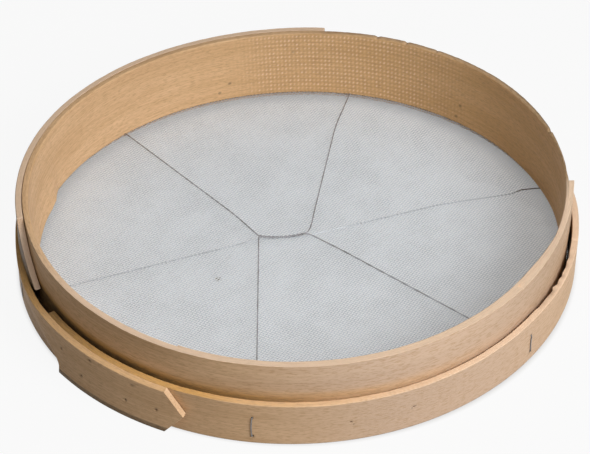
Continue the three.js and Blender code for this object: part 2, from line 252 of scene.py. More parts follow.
def corner_arc(skip_first):
    steps = np.linspace(0, np.pi / 2, CORNER_STEPS + 1)
    return steps[1:] if skip_first else steps[:-1]


def strip_outline(outer_rows, inner_rows):
    up, down = np.linspace(0, 1, outer_rows), np.linspace(1, 0, inner_rows)
    late, early = corner_arc(True), corner_arc(False)
    none = 0 * late
    parts = [
        (1, up, 0 * up, up, 0 * up, 1 - up),
        (1, 1 + none, 1 - np.cos(late), 1 - np.sin(late), none, none),
        (0, 1 + none, 1 - np.sin(early), 1 - np.cos(early), none, none),
        (0, down, 0 * down, down, 0 * down, 1 - down),
        (0, none, none, none, 1 - np.cos(late), 1 - np.sin(late)),
        (1, none, none, none, 1 - np.sin(early), 1 - np.cos(early)),
    ]
    outline = {"out": np.concatenate([np.full(len(part[1]), float(part[0])) for part in parts])}
    for k, key in enumerate(("up", "top_in", "top_down", "foot_in", "foot_up")):
        outline[key] = np.concatenate([part[k + 1] for part in parts])
    return SimpleNamespace(**outline, outer_rows=outer_rows, inner_rows=inner_rows)


def end_faces(outline, first):
    n_out, n_in = outline.outer_rows, outline.inner_rows
    inner_start = n_out + 2 * CORNER_STEPS
    total = len(outline.out)
    steps = min(n_out, n_in) - 1
    out_step, in_step = (n_out - 1) // steps, (n_in - 1) // steps
    faces = [list(range(n_out - 1, inner_start + 1))]
    for k in range(steps):
        upper, lower = n_out - 1 - k * out_step, n_out - 1 - (k + 1) * out_step
        inner = range(inner_start + k * in_step, inner_start + (k + 1) * in_step + 1)
        faces.append(list(range(lower, upper + 1)) + list(inner))
    faces.append(list(range(inner_start + n_in - 1, total)) + [0])
    return [[first + i for i in face] for face in faces]


print("a strip's section has", len(strip_outline(17, 97).out), "points")

# %% Sweep a section along a winding
CUT_ARC = 30.0
END_ROUND = 0.4
END_CLEAR = 1.5
CLOSEST_MARKS = 0.05
CORNER_SHARE = 0.9


def winding_marks(start, end, step, close=()):
    marks = np.arange(start, end, step)
    for low, high, fine in close:
        marks = marks[(marks < low) | (marks > high)]
        marks = np.concatenate([marks, np.arange(max(low, start), min(high, end), fine)])
    rounded = arc_of(END_ROUND)
    clear = END_CLEAR * rounded
    marks = np.sort(marks[(marks > start + clear) & (marks < end - clear)])
    marks = marks[np.concatenate([[True], np.diff(marks) > CLOSEST_MARKS])]
    return np.concatenate([[start, start + rounded], marks, [end - rounded, end]])


def bend_strip(marks, inner, outer, bottom, top, rows, rounds, start_cut=None, end_cut=None):
    outline = strip_outline(*rows)
    station = marks[:, None]
    top_outer, top_inner, foot = (np.broadcast_to(r, marks.shape)[:, None] for r in rounds)
    top_round = mix(top_inner, top_outer, outline.out)
    height = bottom + (top - bottom) * outline.up
    height = height - outline.top_down * top_round + outline.foot_up * foot
    angle = station + 0 * height
    if start_cut:
        angle = angle + (1 - np.clip((station - marks[0]) / CUT_ARC, 0, 1)) * arc_of(start_cut(height))
    if end_cut:
        angle = angle - (1 - np.clip((marks[-1] - station) / CUT_ARC, 0, 1)) * arc_of(end_cut(height))
    low, high = inner(angle, height), outer(angle, height)
    snug = np.minimum(1, CORNER_SHARE * (high - low) / (top_outer + top_inner))
    at_end = np.zeros((len(marks), 1))
    at_end[[0, -1]] = 1
    inward = snug * (outline.top_in * top_round + outline.foot_in * foot + at_end * END_ROUND)
    radius = mix(low + inward, high - inward, outline.out)
    height = height + at_end * END_ROUND * (1 - 2 * outline.up)
    return SimpleNamespace(
        marks=marks, outline=outline, angle=angle, radius=radius, height=height, depth=radius - low,
        edge=np.minimum(height - bottom, top - height), end=at_end + 0 * height,
        out=outline.out + 0 * height, up=outline.up + 0 * height)


print("end faces are", END_ROUND, "mm smaller all round than the strip behind them")

# %% Close a strip and make it a piece
def ring_faces(rings, sides, first):
    along = np.arange(rings - 1)[:, None] * sides + first
    here = np.arange(sides)[None, :]
    there = (here + 1) % sides
    quads = np.stack([along + here, along + there, along + sides + there, along + sides + here], axis=-1)
    return quads.reshape(-1, 4)


def strip_faces(marks, outline):
    count = len(outline.out)
    outward = ring_faces(len(marks), count, 0)[:, [0, 3, 2, 1]]
    closing = [face[::-1] for face in end_faces(outline, (len(marks) - 1) * count)]
    return outward.tolist() + end_faces(outline, 0) + closing


def finish_strip(name, strip, slot, **marked):
    points = sprung(polar(strip.angle, strip.radius, strip.height))
    grain = np.stack([np.radians(strip.angle) * HOOP_RADIUS, strip.height, strip.depth], axis=-1)
    layers = {layer: np.clip(values, -1, 1).ravel() for layer, values in marked.items()}
    layers["grain"] = grain.reshape(-1, 3)
    piece = make_piece(name + "_wood", points, strip_faces(strip.marks, strip.outline), [name], layers)
    piece.modifiers.new("flats_stay_flat", "WEIGHTED_NORMAL").keep_sharp = True
    report(piece, name)
    return piece


print("a strip carries its grain along, up and through the plank")

# %% [markdown]
# ## Marks on the wood
# Hand-made strips carry marks: dents round the nails, torn holes where the wires go through, nicks
# in the rim and a waffle of small dots that a ribbed feed roller pressed into the planks. Each mark
# is a small change of the surface at an angle and a height, so it is geometry, and the same
# function also says where dirt gathers.

# %% Dents and nicks
DENT_FLOOR = 0.4
WAVES = 9


def wander(x, depth, seed, shortest, longest):
    dice = np.random.default_rng(seed)
    total = 0.0
    for length in np.geomspace(shortest, longest, WAVES):
        total = total + np.sin(2 * np.pi * (x / length + dice.uniform()))
    return depth * (total / math.sqrt(WAVES))


def distance_to(strip, angle, height):
    along = np.radians(strip.angle - angle) * strip.radius
    return np.hypot(along, strip.height - height)


def dent(distance, reach):
    return 1 - ease(distance, DENT_FLOOR * reach, reach)


def press(strip, gap, depth, reach):
    strip.radius -= depth * strip.out * dent(gap, reach)


def soil_rings(distance, size, rings):
    return sum(strength * dent(distance, reach * size) for strength, reach in rings)


def rim_nicks(angle, nicks):
    depth = 0.0
    for at, deep, wide in nicks:
        depth = depth + deep * np.exp(-(((angle - at) / arc_of(wide)) ** 2))
    return depth


def top_edge(strip, width, full):
    return ease(strip.edge, width, full) * (strip.up > 0.5)


print("a dent is flat for", DENT_FLOOR, "of its reach")

# %% Roller dots
ROLLER_ALONG = 3.3
ROLLER_UP = 4.13
ROLLER_SLANT = 0.04
ROLLER_REACH = 4.0
ROLLER_GRID = (128, 32)
CROSS_WAVE = 0.7


def roller_dots(strip):
    column = (np.radians(strip.angle) * HOOP_RADIUS - ROLLER_SLANT * strip.height) / ROLLER_ALONG
    row = (strip.height + np.minimum(strip.depth, ROLLER_REACH)) / ROLLER_UP
    pressed = np.random.default_rng(31).uniform(0.5, 1.0, size=ROLLER_GRID)
    spot = [np.round(count).astype(int) % size for count, size in zip((column, row), ROLLER_GRID)]
    along, up, both = (np.cos(2 * np.pi * count) for count in (column, row, column + row))
    return pressed[tuple(spot)] * (along + up + CROSS_WAVE * both) / (2 + CROSS_WAVE)


print("roller dots every", ROLLER_ALONG, "mm along and", ROLLER_UP, "mm up")

# %% [markdown]
# ## Nail and wire places
# The nails are listed by winding angle and height, and so are the holes where the brace wires leave
# the wall and come back as staples. They come before the strips, because every strip is dented by
# them.

# %% Where the nails and staples are
BAND_HEIGHT = 38.0
LAP_NAILS = [(218.6, 25.3), (226.8, 34.0), (224.6, 14.3), (237.5, 33.0), (235.8, 15.8), (242.6, 18.4)]
BACK_LEFT_NAILS = [(105.8, 24.2), (108.3, 16.1)]
BACK_RIGHT_NAILS = [(48.4, 26.1), (49.3, 14.3)]
FRONT_NAILS = [(-80.4, 18.6), (-67.9, 19.9)]
HOOP_LAP_NAILS = [(-20.0, 26.0), (-23.0, 15.0)]
DOUBLING_NAIL = (90.4, 50.3)
WIRE_A_ENDS = ((134.3, 6.5, 25.3), (-37.4, 8.2, 24.2))
WIRE_B_ENDS = ((-99.0, 6.5, 25.0), (76.6, 6.5, 25.3))
WIRE_C_ENDS = ((195.3, 6.5, 25.3), (18.0, 6.5, 25.3))
FOOT_HOLE = 1.4
TOP_HOLE = 0.9
STAPLES = [*WIRE_A_ENDS, *WIRE_B_ENDS, *WIRE_C_ENDS]
BAND_NAILS = LAP_NAILS + BACK_LEFT_NAILS + BACK_RIGHT_NAILS + FRONT_NAILS
STAPLE_HOLES = []
for angle, foot, top in STAPLES:
    STAPLE_HOLES += [(angle, foot, FOOT_HOLE), (angle, top, TOP_HOLE)]
print(len(BAND_NAILS), "nails and", len(STAPLE_HOLES), "staple holes in the band")

# %% [markdown]
# ## The hoop
# The hoop is the tall wall. Its rim is rounded on the inside by use and still square outside, and
# at the back the planer's feed roller left its dots on the inner face. At the left its foot has
# been knocked in, along a crease. At the right the lap is pared thin and the outer end stands out a
# little above the band. A modifier could displace a plain cylinder, but the marks follow the plank,
# so they are pressed in along the winding, where the mesh is made fine enough for them.

# %% Bend the hoop
HOOP_BOTTOM = 8.1
NICK_STEP = 0.2
NICK_CLOSE = 2.0
ROLLER_ZONE = (22.0, 118.0)
CREASE_ZONE = (156.0, 172.0, 0.3)
RIM_NICKS = [(70.6, 1.2, 1.6), (63.6, 1.0, 1.4), (17.0, 1.3, 1.8), (56.0, 0.5, 1.2), (321.7, 0.9, 1.3)]
HIDDEN_ROUND = 0.1
FOOT_ROUND = 0.6
LAP_INSIDE = (HOOP_INNER_END + TURN - 1, HOOP_INNER_END + TURN + 2)

hoop_close = [(*ROLLER_ZONE, NICK_STEP)]
for at, deep, wide in RIM_NICKS:
    if not ROLLER_ZONE[0] <= at <= ROLLER_ZONE[1]:
        hoop_close.append((at - NICK_CLOSE, at + NICK_CLOSE, NICK_STEP))
hoop_close.append(CREASE_ZONE)
hoop_marks = winding_marks(HOOP_INNER_END, HOOP_OUTER_END, step=0.8, close=hoop_close)
covered_outside = ease(hoop_marks, 1.0, -1.0)
outside_round = mix(0.3, 0.2, stretch(hoop_marks, 82.0, 86.0, 196.0, 206.0))
single_round = mix(1.3, 0.4, ease(hoop_marks, 210.0, 243.0))
lapped_round = mix(0.3, 1.0, ease(hoop_marks, HOOP_INNER_END, HOOP_INNER_END + HOOP_TIP_ARC))
inside_round = mix(single_round, lapped_round, covered_outside)
hoop_rounds = (mix(outside_round, HIDDEN_ROUND, covered_outside),
               mix(inside_round, HIDDEN_ROUND, ease(hoop_marks, *LAP_INSIDE)), FOOT_ROUND)
hoop = bend_strip(hoop_marks, hoop_inner, hoop_outer, HOOP_BOTTOM, RIM_HEIGHT,
                  rows=(17, 97), rounds=hoop_rounds)
print("hoop marks", len(hoop_marks), "points", hoop.radius.size)

# %% Press the dots and nicks into the hoop
ROLLER_DEPTH = 0.12
RIM_LEANS = [(195, 0), (205, 0.7), (235, 0.7), (250, 0), (260, -1), (280, -1.4),
             (300, -1.7), (312, -0.8), (322, 0)]
LEAN_DEPTH = 12.0
NICK_DEPTH = 5.0

inside = 1 - hoop.out
roller_share = stretch(hoop.angle, 22.0, 64.0, 94.0, 116.0) * inside * ease(hoop.edge, 0, 0.6)
hoop_dots = roller_dots(hoop) * roller_share
hoop.radius -= ROLLER_DEPTH * hoop_dots
near_rim = ease(hoop.height, RIM_HEIGHT - LEAN_DEPTH, RIM_HEIGHT)
hoop.radius += hoop.out * near_rim * from_line(hoop.angle, RIM_LEANS)
rim_sinks = rim_nicks(hoop.angle, RIM_NICKS)
rim_sinks += wander(hoop.angle, depth=0.12, seed=4, shortest=1.5, longest=40)
level_height = hoop.height.copy()
hoop.height -= ease(hoop.height, RIM_HEIGHT - NICK_DEPTH, RIM_HEIGHT) * rim_sinks
print("deepest nick", round(float(rim_nicks(hoop_marks, RIM_NICKS).max()), 2), "mm")

# %% Knock the foot in and thin the lap
FOOT_KNOCKED_IN = [(159.5, 0), (161.5, 1.9), (163.3, 4.1), (166.5, 4.9), (170, 4.3), (181, 4.2), (196, 0)]
LAP_THINNED = [(-33, 0), (-24, 1.7), (-20, 2.9), (-8, 2.9), (4, 2.7), (10, 2.6), (15, 1.8), (20, 1), (28, 0)]
PLIES_MEET = [(-33, 0), (-20, 1.6), (-8, 2), (0, 2.2), (3, 1), (10, 0.4), (28, 0)]
END_STANDS_OUT = [(-16, 0), (-6, 1), (0, 1.9)]
ABOVE_BAND = (30.0, 50.0)

foot_share = ((RIM_HEIGHT - level_height) / (RIM_HEIGHT - HOOP_BOTTOM)) ** 2
foot_moves = foot_share * from_line(hoop.angle, FOOT_KNOCKED_IN)
hoop.radius -= foot_moves
on_outer_end = hoop.angle > HOOP_INNER_END + TURN
turned = np.where(on_outer_end, hoop.angle - TURN, hoop.angle)
stands_out = from_line(turned, END_STANDS_OUT) * ease(level_height, *ABOVE_BAND)
inside_moves = np.where(on_outer_end, from_line(turned, PLIES_MEET), from_line(turned, LAP_THINNED))
outside_moves = np.where(on_outer_end, stands_out, from_line(turned, PLIES_MEET))
hoop.radius += mix(inside_moves, outside_moves, hoop.out)
print("the foot moves in", round(foot_moves.max(), 1), "mm")

# %% Dirt and painted shade on the hoop
POINT_MARKS = [(*spot, 0.55) for spot in BACK_LEFT_NAILS + BACK_RIGHT_NAILS] + [(*DOUBLING_NAIL, 0.25)]
RIM_DARKENING = [(-8, 0), (2, 0.55), (20, 0.55), (40, 0.45), (60, 0.36),
            (83, 0.36), (88, 0.24), (118, 0.2), (150, 0.1), (215, 0)]
GROOVE_SHADE = [(190, 0), (196, 0.9), (212, 0.9), (232, 0.8), (250, 0.4), (275, 0)]

# The inner wall is darker along its foot.
hoop_soil = 0.25 * inside * ease(hoop.height, HOOP_BOTTOM + 1.2, HOOP_BOTTOM)
for *spot, strength in POINT_MARKS:
    hoop_soil += inside * strength * dent(distance_to(hoop, *spot), 1.9)
rim_top = top_edge(hoop, width=mix(1.0, 0.3, hoop.out), full=0.1)
# Painted shade: the rim top is darkened from the right round the back, so it stays as dark as the shaded
# inner wall below it instead of catching the light.
back_rim = 0.2 * stretch(hoop.angle, -6.0, 8.0, 82.0, 84.5) * hoop.out
hoop_soil += rim_top * (from_line(hoop.angle, RIM_DARKENING) + back_rim)
# The outer face is darker at the right, and a little darker all round, which takes back there the hoop's
# brighter shade.
right_face = 0.22 * ease(hoop.angle, 298.0, 345.0) * (1 - rim_top)
# Painted shade: the outer face at the left is darkened just above the band, in the shadowed gap between hoop
# and band.
groove_shade = from_line(hoop.angle, GROOVE_SHADE) * ease(hoop.height, 44.5, 39.0)
hoop_soil += hoop.out * (0.07 + right_face + groove_shade)
print("soil on the hoop up to", round(hoop_soil.max(), 2))

# %% Wear, age, painted sheen and painted warm shade of the hoop
# Painted warm shade: the inner wall turns amber and darker from the right round the back, where it faces
# away from the light.
INSIDE_WARM_SHADE = [(-115, 0), (-60, 0.1), (-30, 0.35), (20, 0.4), (70, 0.4), (95, 0.3), (130, 0.05)]
# Painted sheen: the outer face is bleached paler from the front round to the right, where light glances off
# it, with a touch of warm shade at the left.
OUTSIDE_SHEEN_AND_SHADE = [(215, -0.1), (235, 0), (255, 0.25), (285, 0.9), (320, 0.8), (345, 0.5), (359, 0.2)]

front_rim = ease(hoop.angle, 185.0, 225.0) + ease(hoop.angle, 2.0, -2.0)
hoop_wear = 0.6 * rim_top * front_rim + roller_share * (hoop_dots - 0.1)
# Painted warm shade: the outer face turns amber just above the band, in the gap's shadow, except at the
# right.
gap_warm_shade = ease(hoop.height, 47.0, 39.0) * ease(hoop.angle, 330.0, 260.0)
outside_age = from_line(hoop.angle, OUTSIDE_SHEEN_AND_SHADE) - gap_warm_shade
face_age = mix(-from_line(hoop.angle, INSIDE_WARM_SHADE), outside_age, hoop.out)
hoop_age = face_age * (1 - rim_top) + 0.3 * rim_top * front_rim
hoop_piece = finish_strip("hoop", hoop, "hoop_wood", soil=hoop_soil, wear=hoop_wear, age=hoop_age)

# %% [markdown]
# ## The doubling strip
# Outside the hoop, from the back round to the left, a second strip doubles the wall above the band.
# It ends square at the back. At the left it is sawn off on a long diagonal, and its thin end has
# sprung away from the hoop, which leaves a dark line between them. Only the spring is added to the
# frame's shape.

# %% Bend the doubling strip
DOUBLING_THICK = 4.8
SQUARE_END = 83.2
CUT_END = 204.2
CUT_LENGTH = 48.0
END_SPRING = 0.4
DOUBLING_BOTTOM = BAND_HEIGHT + FIT


def doubling_inner(angle, height=None):
    spring = END_SPRING * ease(angle, 160.0, CUT_END)
    return hoop_outer(angle) + FIT + spring


def doubling_outer(angle, height=None):
    spring = END_SPRING * ease(angle, 175.0, CUT_END)
    return hoop_outer(angle) + FIT + DOUBLING_THICK + spring


def doubling_cut(height):
    return CUT_LENGTH * (height - DOUBLING_BOTTOM) / (RIM_HEIGHT - DOUBLING_BOTTOM)


doubling_marks = winding_marks(SQUARE_END, CUT_END, step=0.5)
doubling = bend_strip(doubling_marks, doubling_inner, doubling_outer, DOUBLING_BOTTOM, RIM_HEIGHT,
                      rows=(31, 31), rounds=(0.8, 0.25, FOOT_ROUND), end_cut=doubling_cut)
print("doubling marks", len(doubling_marks), "points", doubling.radius.size)

# %% Nail dent, dirt, painted shade, painted light and wear of the doubling strip
SAWN_END_LIT = (68.0, 60.0)

doubling.height -= wander(doubling.angle, depth=0.1, seed=9, shortest=2, longest=50) * doubling.up
nail_gap = distance_to(doubling, *DOUBLING_NAIL)
press(doubling, nail_gap, depth=0.7, reach=1.5)
doubling_top = top_edge(doubling, width=0.8, full=0.2)
# Painted shade: the outer face towards the left end is darkened almost to black, as it faces away from the
# light.
left_face_shade = 0.95 * ease(doubling.angle, 165.0, 186.0) * (1 - doubling.end)
doubling_soil = doubling.out * (0.5 * dent(nail_gap, 2.0) + left_face_shade) * (1 - doubling_top)
# The sawn end is painted pale, partly as painted light on the end face, and the top is paler with wear.
doubling_wear = 0.5 * doubling_top + doubling.end * ease(doubling.height, *SAWN_END_LIT)
doubling_age = 0.4 * doubling_top + 0.7 * doubling.end
doubling_piece = finish_strip("doubling_strip", doubling, "doubling_wood",
                              soil=doubling_soil, wear=doubling_wear, age=doubling_age)

# %% [markdown]
# ## The band
# The band clamps the cloth. Its inner end is cut on a slant, and its outer end climbs over that and
# ends in a blunt point held by six nails. The climb is short at the foot and long at the top, so
# the top edge stands away from the hoop there, and again at the right, where the inner edge is
# torn. The point is made by shearing the last marks of the sweep, because then the end keeps its
# thickness and its square edge.

# %% Faces of the band
MARGIN_THICK = 1.6
CLOTH_WRAP = MARGIN_THICK + 2 * FIT
BAND_THICK = 5.0
BAND_INNER_END = -148.5
INNER_CUT = 27.5
POINT_END = 248.2
POINT_LENGTH = 13.5
FOOT_CLIMB = 1.1
STEP_HEIGHT = 6.0
TOP_CLIMB = 26.0
CLIMB_LEAD = 1.6
LAP_GAP = 0.1
FOOT_GAP = 1.7
BAND_FLARE = 1.4
FLARE_ANGLE = -20.0
FLARE_ARC = 20.0
LAP_START = BAND_INNER_END + TURN
LAP_FOOT = LAP_START + arc_of(INNER_CUT)


def band_share(height):
    return np.clip(np.asarray(height) / BAND_HEIGHT, 0, 1)


def band_flare(angle, height):
    faded = ease(np.abs(angle - FLARE_ANGLE), 0, FLARE_ARC)
    return band_share(height) * BAND_FLARE * (1 - faded)


def band_inner(angle, height):
    lifted = ease(height, STEP_HEIGHT, BAND_HEIGHT)
    climbed = mix(LAP_FOOT, LAP_START, lifted) - CLIMB_LEAD
    lapped = ease(angle, climbed - mix(FOOT_CLIMB, TOP_CLIMB, lifted), climbed)
    lap_rise = BAND_THICK + mix(FOOT_GAP, LAP_GAP, band_share(height))
    return seat(angle) + CLOTH_WRAP + lapped * lap_rise + band_flare(angle, height)


def band_outer(angle, height):
    return band_inner(angle, height) + BAND_THICK


def band_slant(height):
    return INNER_CUT * (1 - band_share(height))


def band_point(height):
    return POINT_LENGTH * np.abs(2 * band_share(height) - 1)


proud = band_outer(235.0, BAND_HEIGHT / 2) - band_outer(235.0 - TURN, BAND_HEIGHT / 2)
print("the band's lap stands", round(float(proud), 2), "mm proud")

# %% Bend the band
CLOSE_STEP = 0.13
NAIL_CLOSE = 1.1
STAPLE_CLOSE = 0.8
FRONT_ROLLER_ZONE = (-86.0, -54.0, 0.25)
TORN_ZONE = (-39.0, 0.0, 0.15)
LAP_STEP_ZONE = (213.5, 219.0, 0.2)
UNDER_LAP = (POINT_END - TURN + 2, POINT_END - TURN - 4)
OVER_LAP = (LAP_START - 3, LAP_START + 1)

band_close = [FRONT_ROLLER_ZONE, TORN_ZONE, LAP_STEP_ZONE]
band_close += [(angle - NAIL_CLOSE, angle + NAIL_CLOSE, CLOSE_STEP) for angle, height in BAND_NAILS]
band_close += [(angle - STAPLE_CLOSE, angle + STAPLE_CLOSE, CLOSE_STEP) for angle, foot, top in STAPLES]
band_marks = winding_marks(BAND_INNER_END, POINT_END, step=0.75, close=band_close)
band_rounds = (mix(0.7, HIDDEN_ROUND, ease(band_marks, *UNDER_LAP)),
               mix(0.5, HIDDEN_ROUND, ease(band_marks, *OVER_LAP)), FOOT_ROUND)
band = bend_strip(band_marks, band_inner, band_outer, 0.0, BAND_HEIGHT, rows=(61, 7), rounds=band_rounds,
                  start_cut=band_slant, end_cut=band_point)
print("band marks", len(band_marks), "points", band.radius.size)

# %% Dent the band round its nails and staples
DOT_RISE = 0.04
NAIL_SOIL = ((0.2, 2.7), (0.3, 1.6))
FRONT_NAIL_SIZE = 0.7
FRONT_SPECKS = [(-79.85, 16.2, 0.8), (-68.25, 19.2, 0.8), (-67.5, 20.7, 0.8)]
HOLE_SOIL = ((0.2, 2.4), (0.55, 1.1))

band_dots = roller_dots(band) * band.out * stretch(band.angle, -86.0, -78.0, -60.0, -52.0)
band.radius += DOT_RISE * band_dots
band_soil = 0 * band.radius
for spot in BAND_NAILS:
    gap = distance_to(band, *spot)
    size = FRONT_NAIL_SIZE if spot in FRONT_NAILS else 1.0
    press(band, gap, depth=0.75, reach=1.5 * size)
    band_soil += band.out * soil_rings(gap, size, NAIL_SOIL)
for *spot, reach in FRONT_SPECKS:
    band_soil += 0.6 * band.out * dent(distance_to(band, *spot), reach)
for *spot, reach in STAPLE_HOLES:
    gap = distance_to(band, *spot)
    press(band, gap, depth=1.2, reach=reach)
    band_soil += band.out * soil_rings(gap, reach, HOLE_SOIL)
print("soil round the nails up to", round(band_soil.max(), 2))

# %% Tear the band's edge
TORN_LINE = [(-38, 0), (-34, 0.15), (-33.2, 0.7), (-29.5, 1.0), (-27, 1.7), (-26, 0.4), (-25.6, 0),
             (-24.6, 1.0), (-23.2, 0.2), (-22, 1.2), (-21, 0.3), (-18.6, 1.0), (-17.3, 0.2), (-15.4, 0.8),
             (-14, 0.1), (-8, 0)]
TORN_STEP = (-25.6, -26.0)
TOP_ROW = 0.99
BAND_NICKS = [(-10.2, 0.8, 1.2)]
BAND_NICK_DEPTH = 4.0

at_top = (band.up > TOP_ROW) * (1 - band.out)
torn = from_line(band.angle, TORN_LINE) * at_top
whole = ease(band.angle, *TORN_STEP) * at_top
band.radius += torn - whole * band_flare(band.angle, band.height)
band.height -= torn * np.abs(wander(band.angle, depth=0.4, seed=13, shortest=0.4, longest=5))
top_sinks = rim_nicks(band.angle, BAND_NICKS)
top_sinks += wander(band.angle, depth=0.12, seed=21, shortest=2, longest=50)
band.height -= ease(band.height, BAND_HEIGHT - BAND_NICK_DEPTH, BAND_HEIGHT) * top_sinks
print("deepest tear", round(torn.max(), 2), "mm")

# %% Dirt and painted shade on the band
LEFT_TOP_SHADE = [(-148, 1), (-110, 1), (-80, 0.6), (-50, 0), (150, 0), (172, 1), (250, 0.8)]
SHUT_DIRT_AND_SHADE = [(-148, 0.65), (-138, 0.3), (-128, 0.08), (-112, 0.03), (150, 0.25)]

band_top = top_edge(band, width=0.6, full=0.1)
# Painted warm shade: the band's top at the left turns amber and less worn, as it lies in the hoop's shadow.
left_top_shade = band_top * from_line(band.angle, LEFT_TOP_SHADE)
opened = ease(band.angle, -112.0, -100.0) * (band.angle < 100.0)
shut_in = left_top_shade * (ease(band.angle, 214.0, 205.0) - opened)
inner_end = band.end * (band.angle < 0)
# Where the band's top lies shut against the hoop it is darker, partly dirt and partly painted shade of the
# narrow gap; the foot of the lap, the foot of the band and the band's inner end are darker too.
lap_foot = ease(band.angle, 214.0, 218.0) * ease(band.height, 5.0, 3.6)
band_foot = ease(band.height, 1.4, 0.3)
band_soil += band.out * (0.75 * lap_foot + 0.25 * band_foot)
band_soil += from_line(band.angle, SHUT_DIRT_AND_SHADE) * shut_in + 0.3 * torn + 0.8 * inner_end
print("soil on the band up to", round(band_soil.max(), 2))

# %% Wear, painted light, painted sheen and painted warm shade of the band
INSIDE_FOOT_LIGHT = (9.0, 6.0)
# Painted sheen: the band's face is bleached paler at the front right, where light glances off it, and the
# lap is a little pinker.
FACE_SHEEN_AND_TONE = [(-148, 0), (-100, 0.2), (-72, 0.8), (-50, 0.8), (-20, 0.35), (10, 0.1),
            (190, 0), (215, 0.1), (248, 0.15)]

band_wear = band_top * (0.6 - 0.35 * left_top_shade) * (1 - shut_in) + 0.15 * band_dots
band_wear = (band_wear + 0.25 * band.end) * (1 - inner_end)
# Painted light: the band's inner face is painted pale at its foot, lifting the shade seen through the cloth.
band_wear += (1 - band.out) * ease(band.height, *INSIDE_FOOT_LIGHT)
band_age = from_line(band.angle, FACE_SHEEN_AND_TONE) * (1 - band_top) - left_top_shade + 0.3 * band_top
band_piece = finish_strip("band", band, "band_wood", soil=band_soil, wear=band_wear, age=band_age)

# %% [markdown]
# ## The wire cloth
# The cloth is plain weave, twelve wires to the inch: each wire goes over one and under the next. An
# image would be flat, so each wire is a thin square tube with one ring at each crossing, up or down
# by turns. The sheet is woven flat and then bent like a drawn cup, so its edge turns up round the
# hoop, where the band pinches it.

# %% Bend the cloth like a cup
CLOTH_MIDDLE = 7.4
CLOTH_BEND = 1.6
CLOTH_WALL_GAP = CLOTH_WRAP / 2
CLOTH_EDGE_UP = 25.0
WIDEST_ANGLE = 330.0
CLOTH_EDGE = spiral(WIDEST_ANGLE) + HOOP_THICK + CLOTH_WALL_GAP - CLOTH_BEND + CLOTH_EDGE_UP - CLOTH_MIDDLE


def cloth_cup(flat):
    x, y, rise = flat.T
    angle = np.degrees(np.arctan2(y, x))
    reach = np.hypot(x, y)
    wall = seat(angle) + CLOTH_WALL_GAP
    past = reach - (wall - CLOTH_BEND)
    bend = np.clip(past / CLOTH_BEND, 0, np.pi / 2)
    radius = np.where(past < 0, reach, wall - CLOTH_BEND + CLOTH_BEND * np.sin(bend)) - rise * np.sin(bend)
    height = CLOTH_MIDDLE + CLOTH_BEND * (1 - np.cos(bend)) + np.maximum(past - CLOTH_BEND * np.pi / 2, 0)
    return polar(angle, radius, height + rise * np.cos(bend))


print("the flat cloth reaches", round(CLOTH_EDGE, 1), "mm from its middle")

# %% Weave one wire
CLOTH_PITCH = 2.117
CLOTH_WIRE = 0.5
WEAVE_RISE = CLOTH_WIRE / 2
RING = CLOTH_WIRE / 2 * np.array([(1, 0), (0, 1), (-1, 0), (0, -1)])
RIPPLE = 0.16
RIPPLE_LENGTH = 21.0
RIPPLE_SHIFT = 0.4
SWAY = 0.2
SWAY_LENGTHS = (53.0, 37.0)


def weave_wire(index, along, across, first_up):
    offset = index * CLOTH_PITCH
    half = int(math.sqrt(max(CLOTH_EDGE**2 - offset**2, 0)) / CLOTH_PITCH)
    crossing = np.arange(-half, half + 1)
    middle = np.outer(crossing * CLOTH_PITCH, along) + offset * across
    x, y = middle.T
    slack = RIPPLE * np.sin(x / RIPPLE_LENGTH + RIPPLE_SHIFT * index)
    slack += SWAY * np.sin(y / SWAY_LENGTHS[1] + x / SWAY_LENGTHS[0])
    rise = first_up * WEAVE_RISE * (1 - 2 * ((crossing + index) % 2))
    rings = np.zeros((len(crossing), len(RING), 3))
    rings[:, :, :2] = (middle + np.outer(slack, across))[:, None, :] + RING[None, :, :1] * across
    rings[:, :, 2] = rise[:, None] + RING[None, :, 1]
    return rings


def tube_faces(rings, sides, first):
    last = first + (rings - 1) * sides
    caps = [list(range(first, first + sides))[::-1], list(range(last, last + sides))]
    return ring_faces(rings, sides, first).tolist() + caps


print("each wire rises", WEAVE_RISE, "mm over the next")

# %% Weave the cloth
CLOTH_TURN = -31.0
CLOGGED = (-59.6, -41.0)


def cloth_clog_and_shade(woven):
    x, y = woven.T[:2]
    angle = np.degrees(np.arctan2(y, x))
    # Painted shade: the cloth is darkened where its edge turns up into the shaded gap beside the hoop; the
    # clogged spot is dirt.
    past_wall = np.hypot(x, y) - hoop_wall(angle) - from_line(angle, LAP_THINNED)
    clog = ease(np.hypot(x - CLOGGED[0], y - CLOGGED[1]), 3.0, 1.4)
    return np.maximum(ease(past_wall, 0.3, 1.5), clog)


def weave_half(name, direction, first_up, indexes):
    turn = math.radians(direction)
    along = np.array([math.cos(turn), math.sin(turn)])
    across = np.array([-along[1], along[0]])
    points, faces, first = [], [], 0
    for index in indexes:
        rings = weave_wire(index, along, across, first_up)
        if len(rings) > 2:
            points.append(rings.reshape(-1, 3))
            faces += tube_faces(len(rings), len(RING), first)
            first += len(points[-1])
    woven = cloth_cup(np.concatenate(points))
    piece = make_piece(name, sprung(woven), faces, ["wire_cloth", "cloth_margin"],
                       {"grime_and_shade": cloth_clog_and_shade(woven)}, sharp=180.0)
    print(name, len(indexes), "wires", len(faces), "faces")
    return piece


most = int(CLOTH_EDGE / CLOTH_PITCH)
cloth_pieces = [
    weave_half("cloth_warp_near", CLOTH_TURN, 1, range(-most, 0)),
    weave_half("cloth_warp_far", CLOTH_TURN, 1, range(0, most + 1)),
    weave_half("cloth_weft_left", CLOTH_TURN + 90, -1, range(-most, 0)),
    weave_half("cloth_weft_right", CLOTH_TURN + 90, -1, range(0, most + 1)),
]

